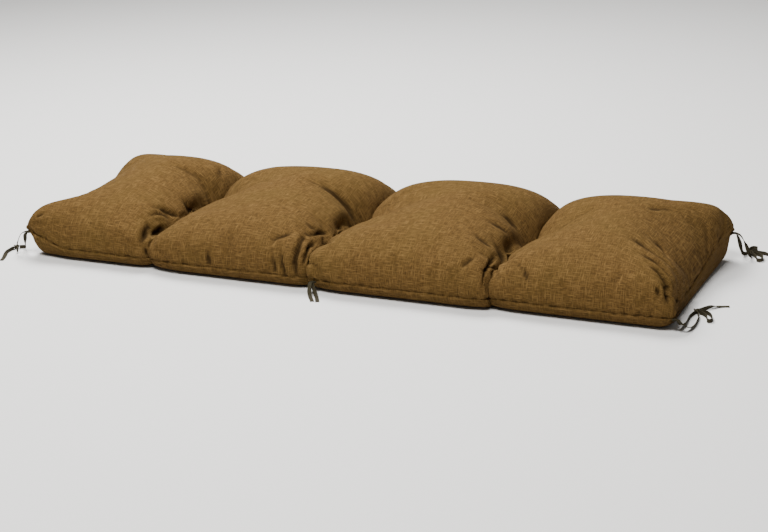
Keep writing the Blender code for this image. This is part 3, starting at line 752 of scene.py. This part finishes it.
needle = tack_lines.modifiers.new("sewing", "NODES")
needle.node_group = sewing
for identifier, value in inputs.items():
    needle[identifier] = value
bpy.context.view_layer.update()
sewn = tack_lines.evaluated_get(bpy.context.evaluated_depsgraph_get())
stitch_mesh = bpy.data.meshes.new_from_object(sewn)
stitch_mesh.name = "tuft_stitches"
tack_lines.modifiers.remove(needle)
bpy.data.objects.remove(tack_lines, do_unlink=True)
stitch_mesh.shade_smooth()
tuft_stitches = placed("tuft_stitches", stitch_mesh)
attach(tuft_stitches, "root")


# ------------------------------------------------------------ ties
# Flat woven tapes, doubled and sewn into the edge seam at the corners and at the middle of the front. Three
# of them are knotted with small tight knots, and each free end is cut square.
TAPE_WIDTH = 0.0085
TAPE_THICKNESS = 0.0014
KNOT_SIZE = (0.0150, 0.0130, 0.0096)
PIECE_GAP = 0.0004
ROOT_CLEARANCE = 0.0008
ROOT_RUN = 0.010
ROOT_STACK = TAPE_THICKNESS + 0.0010
TWIST_START = 0.25
TWIST_LENGTH = 0.50
ON_EDGE = TAPE_WIDTH / 2 + PIECE_GAP
FLAT = TAPE_THICKNESS / 2 + PIECE_GAP
CORNER_TIP = 0.5 - 0.5 * math.cos(math.pi / 20)
# where each tie is sewn in: the section, the share of the way across it, and the front or the back seam
ROOTS = {
    "front_left": (0, CORNER_TIP, 0.0),
    "front_middle": (2, 0.05, 0.0),
    "front_right": (3, 1.0 - CORNER_TIP, 0.0),
    "back_right": (3, 1.0 - CORNER_TIP, math.pi),
    "back_left": (0, CORNER_TIP, math.pi),
}
KNOTS = {
    "front_left": (-0.786, -0.196),
    "front_right": (0.745, -0.115),
    "back_right": (0.757, 0.285),
}
# each tape from a root or a knot, at the start angle, to its knot at the end angle or to its free end, with
# how it lies at both (0 flat, 90 on its edge), its length and the points that it passes
TAPES = (
    {"tie": "front_left", "tape": "outer", "stack": 0, "start": 186, "end": -27, "rolls": (0, 90),
     "length": 0.099,
     "route": ((-0.7460, -0.2290, 0.0490), (-0.7550, -0.2315, 0.0310), (-0.7630, -0.2260, 0.0115),
               (-0.7700, -0.2140, ON_EDGE))},
    {"tie": "front_left", "tape": "inner", "stack": 1, "start": 174, "end": 27, "rolls": (0, 90),
     "length": 0.090,
     "route": ((-0.7450, -0.2160, 0.0420), (-0.7540, -0.2040, 0.0230), (-0.7625, -0.1935, 0.0085),
               (-0.7710, -0.1885, ON_EDGE))},
    {"tie": "front_left", "tape": "end", "stack": None, "start": -100, "end": None, "rolls": (90, 0),
     "length": 0.081,
     "route": ((-0.7880, -0.2120, ON_EDGE), (-0.7860, -0.2300, 0.0044), (-0.7800, -0.2480, 0.0030),
               (-0.7730, -0.2650, FLAT), (-0.7680, -0.2800, FLAT))},
    {"tie": "front_middle", "tape": "left", "stack": 0, "start": -114, "end": None, "rolls": (0, 0),
     "length": 0.073,
     "route": ((-0.0240, -0.2595, 0.0225), (-0.0215, -0.2690, 0.0120), (-0.0160, -0.2780, 0.0035),
               (-0.0075, -0.2895, FLAT), (0.0000, -0.3010, FLAT))},
    {"tie": "front_middle", "tape": "right", "stack": 1, "start": -104, "end": None, "rolls": (0, 0),
     "length": 0.075,
     "route": ((-0.0155, -0.2590, 0.0110), (-0.0085, -0.2670, 0.0035), (-0.0020, -0.2762, FLAT),
               (0.0050, -0.2885, FLAT), (0.0110, -0.3000, FLAT))},
    {"tie": "front_right", "tape": "outer", "stack": 0, "start": -6, "end": -65, "rolls": (0, 90),
     "length": 0.142,
     "route": ((0.7450, -0.2330, 0.0215), (0.7540, -0.2250, 0.0115), (0.7590, -0.2060, ON_EDGE),
               (0.7600, -0.1800, ON_EDGE), (0.7585, -0.1530, ON_EDGE), (0.7530, -0.1330, ON_EDGE))},
    {"tie": "front_right", "tape": "inner", "stack": 1, "start": 8, "end": -100, "rolls": (0, 90),
     "length": 0.124,
     "route": ((0.7400, -0.2190, 0.0125), (0.7415, -0.2020, 0.0070), (0.7410, -0.1750, ON_EDGE),
               (0.7405, -0.1500, ON_EDGE), (0.7420, -0.1320, ON_EDGE))},
    {"tie": "front_right", "tape": "bow", "stack": None, "start": -30, "end": 5, "rolls": (90, 90),
     "length": 0.119,
     "route": ((0.7590, -0.1235, ON_EDGE), (0.7680, -0.1340, ON_EDGE), (0.7740, -0.1480, ON_EDGE),
               (0.7770, -0.1590, ON_EDGE), (0.7820, -0.1610, ON_EDGE), (0.7850, -0.1540, ON_EDGE),
               (0.7810, -0.1380, ON_EDGE), (0.7720, -0.1220, ON_EDGE), (0.7610, -0.1145, ON_EDGE))},
    {"tie": "front_right", "tape": "end", "stack": None, "start": 60, "end": None, "rolls": (90, 0),
     "length": 0.073,
     "route": ((0.7530, -0.1000, ON_EDGE), (0.7620, -0.0830, 0.0044), (0.7730, -0.0700, 0.0030),
               (0.7850, -0.0610, FLAT), (0.7960, -0.0570, FLAT))},
    {"tie": "back_right", "tape": "outer", "stack": 0, "start": -4, "end": -70, "rolls": (0, 90),
     "length": 0.099,
     "route": ((0.7470, 0.2400, 0.0540), (0.7570, 0.2430, 0.0360), (0.7635, 0.2510, 0.0125),
               (0.7645, 0.2640, ON_EDGE))},
    {"tie": "back_right", "tape": "inner", "stack": 1, "start": 6, "end": -124, "rolls": (0, 90),
     "length": 0.081,
     "route": ((0.7415, 0.2470, 0.0430), (0.7440, 0.2565, 0.0230), (0.7460, 0.2650, 0.0095),
               (0.7490, 0.2735, ON_EDGE))},
    {"tie": "back_right", "tape": "bow", "stack": None, "start": -42, "end": -12, "rolls": (90, 90),
     "length": 0.109,
     "route": ((0.7680, 0.2720, ON_EDGE), (0.7770, 0.2580, ON_EDGE), (0.7810, 0.2440, ON_EDGE),
               (0.7860, 0.2390, ON_EDGE), (0.7920, 0.2440, ON_EDGE), (0.7910, 0.2590, ON_EDGE),
               (0.7830, 0.2740, ON_EDGE), (0.7720, 0.2815, ON_EDGE))},
    {"tie": "back_right", "tape": "loop", "stack": None, "start": 65, "end": 115, "rolls": (90, 90),
     "length": 0.070,
     "route": ((0.7620, 0.2980, ON_EDGE), (0.7665, 0.3090, ON_EDGE), (0.7655, 0.3190, ON_EDGE),
               (0.7590, 0.3220, ON_EDGE), (0.7530, 0.3170, ON_EDGE), (0.7515, 0.3070, ON_EDGE),
               (0.7525, 0.2970, ON_EDGE))},
    {"tie": "back_right", "tape": "end", "stack": None, "start": 22, "end": None, "rolls": (90, 0),
     "length": 0.083,
     "route": ((0.7730, 0.2910, ON_EDGE), (0.7900, 0.2890, 0.0044), (0.8040, 0.2770, 0.0030),
               (0.8110, 0.2590, FLAT), (0.8130, 0.2410, FLAT))},
    {"tie": "back_left", "tape": "near", "stack": 0, "start": 176, "end": None, "rolls": (0, 0),
     "length": 0.178,
     "route": ((-0.7450, 0.2450, 0.0500), (-0.7470, 0.2560, 0.0370), (-0.7400, 0.2660, 0.0180),
               (-0.7250, 0.2710, 0.0040), (-0.6980, 0.2720, FLAT), (-0.6640, 0.2690, FLAT),
               (-0.6290, 0.2730, FLAT))},
    {"tie": "back_left", "tape": "far", "stack": 1, "start": 182, "end": None, "rolls": (0, 0),
     "length": 0.188,
     "route": ((-0.7500, 0.2440, 0.0380), (-0.7580, 0.2570, 0.0200), (-0.7550, 0.2720, 0.0065),
               (-0.7400, 0.2850, 0.0016), (-0.7130, 0.2920, FLAT), (-0.6800, 0.2940, FLAT),
               (-0.6480, 0.2900, FLAT))},
)
# the tape's section, as shares of half its width and thickness, rounder and fuller at the selvedges
TAPE_SECTION = ((-1.0, 0.0), (-0.96, 0.85), (-0.80, 1.0), (-0.45, 0.78), (0.0, 0.72), (0.45, 0.78),
                (0.80, 1.0), (0.96, 0.85), (1.0, 0.0), (0.96, -0.85), (0.80, -1.0), (0.45, -0.78),
                (0.0, -0.72), (-0.45, -0.78), (-0.80, -1.0), (-0.96, -0.85))
TAPE_RING_STEP = 0.0020
# a knot is a closed run of turns of the tape, drawn tight: how far it swings out and rises, as shares of the
# knot's size, and half its own squeezed width and thickness
KNOT_RINGS = 132
KNOT_SWING = 0.115
KNOT_RISE = 0.20
KNOT_ROLL = 60.0
KNOT_STRAND = (0.0026, 0.0013)


def heading(degrees):
    return Vector((math.cos(math.radians(degrees)), math.sin(math.radians(degrees)), 0.0))


def knot_side(tie, degrees):
    """A point just outside a knot, at this angle round it."""
    outward = heading(degrees)
    half_x, half_y = KNOT_SIZE[0] / 2, KNOT_SIZE[1] / 2
    radius = half_x * half_y / math.hypot(half_y * outward.x, half_x * outward.y) + PIECE_GAP
    return Vector((*KNOTS[tie], ON_EDGE)) + outward * radius


def tape_points(tape):
    if tape["stack"] is None:
        points = [knot_side(tape["tie"], tape["start"])]
    else:
        seam = top_point(*ROOTS[tape["tie"]])
        seam.z -= ROOT_STACK * tape["stack"]
        outward = heading(tape["start"])
        points = [seam + outward * ROOT_CLEARANCE, seam + outward * ROOT_RUN]
    points += [Vector(point) for point in tape["route"]]
    if tape["end"] is not None:
        points.append(knot_side(tape["tie"], tape["end"]))
    return points


def smooth_route(points, step):
    """Points about 'step' apart on a smooth curve through the given ones."""
    ends = [points[0] * 2 - points[1]] + points + [points[-1] * 2 - points[-2]]
    route = [points[0].copy()]
    for before, a, b, after in zip(ends, ends[1:], ends[2:], ends[3:]):
        pieces = max(1, round((b - a).length / step))
        for piece in range(1, pieces + 1):
            t = piece / pieces
            bend = (b - before) * t + (before * 2 - a * 5 + b * 4 - after) * t ** 2
            bend += (a * 3 - before - b * 3 + after) * t ** 3
            route.append(a + bend * 0.5)
    return route


def resting_height(roll):
    lean = math.radians(roll)
    return (TAPE_WIDTH * math.sin(lean) + TAPE_THICKNESS * math.cos(lean)) / 2 + PIECE_GAP


def ribbon(name, route, rolls, half_width, half_thick):
    """A closed flat tape swept along a route, with a UV map in metres along it and across it."""
    count = len(route)
    rings = []
    travelled = [0.0]
    for index, middle in enumerate(route):
        ahead = route[min(index + 1, count - 1)] - route[max(index - 1, 0)]
        forward = ahead.normalized()
        side = forward.cross(Vector((0.0, 0.0, 1.0))).normalized()
        upward = side.cross(forward)
        lean = math.radians(rolls[index])
        across = side * math.cos(lean) + upward * math.sin(lean)
        through = across.cross(forward)
        rings.append([middle + across * (a * half_width) + through * (b * half_thick)
                      for a, b in TAPE_SECTION])
        if index:
            travelled.append(travelled[-1] + (middle - route[index - 1]).length)
    around = len(TAPE_SECTION)
    verts = [tuple(point) for ring in rings for point in ring]
    faces = []
    for ring in range(count - 1):
        for step in range(around):
            after = (step + 1) % around
            faces.append((ring * around + step, ring * around + after,
                          (ring + 1) * around + after, (ring + 1) * around + step))
    faces.append(tuple(range(around))[::-1])
    faces.append(tuple((count - 1) * around + step for step in range(around)))
    mesh = bpy.data.meshes.new(name)
    mesh.from_pydata(verts, [], faces)
    uv = mesh.uv_layers.new(name="weave")
    for loop, spot in zip(mesh.loops, uv.data):
        ring, step = divmod(loop.vertex_index, around)
        spot.uv = (travelled[ring], TAPE_SECTION[step][0] * TAPE_WIDTH / 2)
    mesh.shade_smooth()
    mesh.materials.append(tape_cloth)
    return placed(name, mesh)


# how finely the tape changes along it and across it, in cycles to a metre
RIBS = (60.0, 1500.0)
PICKS = (1300.0, 120.0)
RIB_RELIEF = 0.0006
TAPE_SHADE = (0.013, 0.011, 0.006, 1.0)
TAPE_OLIVE = (0.050, 0.041, 0.021, 1.0)

tape_cloth, shader, start = new_material("woven_tape", {"Roughness": 0.9, "Specular IOR Level": 0.15})
place = start.node("ShaderNodeUVMap", {"uv_map": "weave"})
ribs = stretched_noise(start, place, RIBS, seed=7.7)
picks = stretched_noise(start, place, PICKS, seed=2.9)
tone = ribs * 0.5 + picks * 0.5
colour = tone.between(0.35, 0.65).blend(TAPE_SHADE, TAPE_OLIVE)
colour.feed(shader.inputs["Base Color"])
bump = start.node("ShaderNodeBump", {}, {"Strength": 0.5, "Distance": RIB_RELIEF, "Height": tone})
bump.feed(shader.inputs["Normal"])

knot_objects = {}
for tie, (x, y) in KNOTS.items():
    route = []
    for ring in range(KNOT_RINGS):
        t = 2 * math.pi * ring / KNOT_RINGS
        rise_here = KNOT_SIZE[2] * KNOT_RISE * math.sin(3 * t)
        route.append(Vector((x + KNOT_SIZE[0] * KNOT_SWING * (math.sin(t) + 2 * math.sin(2 * t)),
                             y + KNOT_SIZE[1] * KNOT_SWING * (math.cos(t) - 2 * math.cos(2 * t)),
                             KNOT_SIZE[2] / 2 + PIECE_GAP - rise_here)))
    route.append(route[0].copy())
    knot = ribbon("tie_knot_" + tie, route, [KNOT_ROLL] * len(route), *KNOT_STRAND)
    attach(knot, "root")
    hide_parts("knot_" + tie)
    knot_objects[tie] = knot

for tape in TAPES:
    node = f"tie_{tape['tie']}_{tape['tape']}"
    route = smooth_route(tape_points(tape), TAPE_RING_STEP)
    last = len(route) - 1
    rolls = []
    for index, middle in enumerate(route):
        twist = smooth((index / last - TWIST_START) / TWIST_LENGTH)
        roll = mix(*tape["rolls"], twist)
        middle.z = max(middle.z, resting_height(roll))
        rolls.append(roll)
    piece = ribbon(f"tape_{tape['tie']}_{tape['tape']}", route, rolls, TAPE_WIDTH / 2, TAPE_THICKNESS / 2)
    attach(piece, "root")
    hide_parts(node)
    knotted = tape["end"] is not None
    [knot_objects[tape["tie"]]] if knotted and tape["tape"] == "outer" else []


# ------------------------------------------------------------ floor and light
# A plain pale floor, a broad soft light high up behind the cushion and to its left, and a weaker one high up
# in front of it.
FLOOR_REACH = 12
FLOOR_PALE = (0.74, 0.73, 0.71, 1.0)
LIGHTS = (
    {"name": "overhead", "place": (-1.2, 1.2, 2.9), "aim": (0.0, 0.0, 0.0), "size": (1.8, 1.6),
     "power": 238.0},
    {"name": "front", "place": (0.1, -1.9, 3.5), "aim": (0.1, 0.0, 0.1), "size": (1.6, 1.2),
     "power": 208.0},
)
ROOM_WHITE = (1.0, 0.99, 0.97, 1.0)
ROOM_STRENGTH = 0.17

floor_mesh = bpy.data.meshes.new("floor")
floor_corners = [(FLOOR_REACH * x, FLOOR_REACH * y, 0) for x, y in ((-1, -1), (1, -1), (1, 1), (-1, 1))]
floor_mesh.from_pydata(floor_corners, [], [(0, 1, 2, 3)])
floor = placed("floor", floor_mesh)
floor_mesh.materials.append(new_material("pale_floor", {"Base Color": FLOOR_PALE, "Roughness": 0.9})[0])

for row in LIGHTS:
    lamp = bpy.data.lights.new(row["name"], "AREA")
    lamp.shape = "RECTANGLE"
    lamp.size, lamp.size_y = row["size"]
    lamp.energy = row["power"]
    light = placed(row["name"], lamp)
    light.location = row["place"]
    light.rotation_mode = "QUATERNION"
    light.rotation_quaternion = (Vector(row["aim"]) - Vector(row["place"])).to_track_quat("-Z", "Y")
room = bpy.data.worlds.new("room")
room.use_nodes = True
room_light = room.node_tree.nodes["Background"].inputs
room_light["Color"].default_value = ROOM_WHITE
room_light["Strength"].default_value = ROOM_STRENGTH
bpy.context.scene.world = room
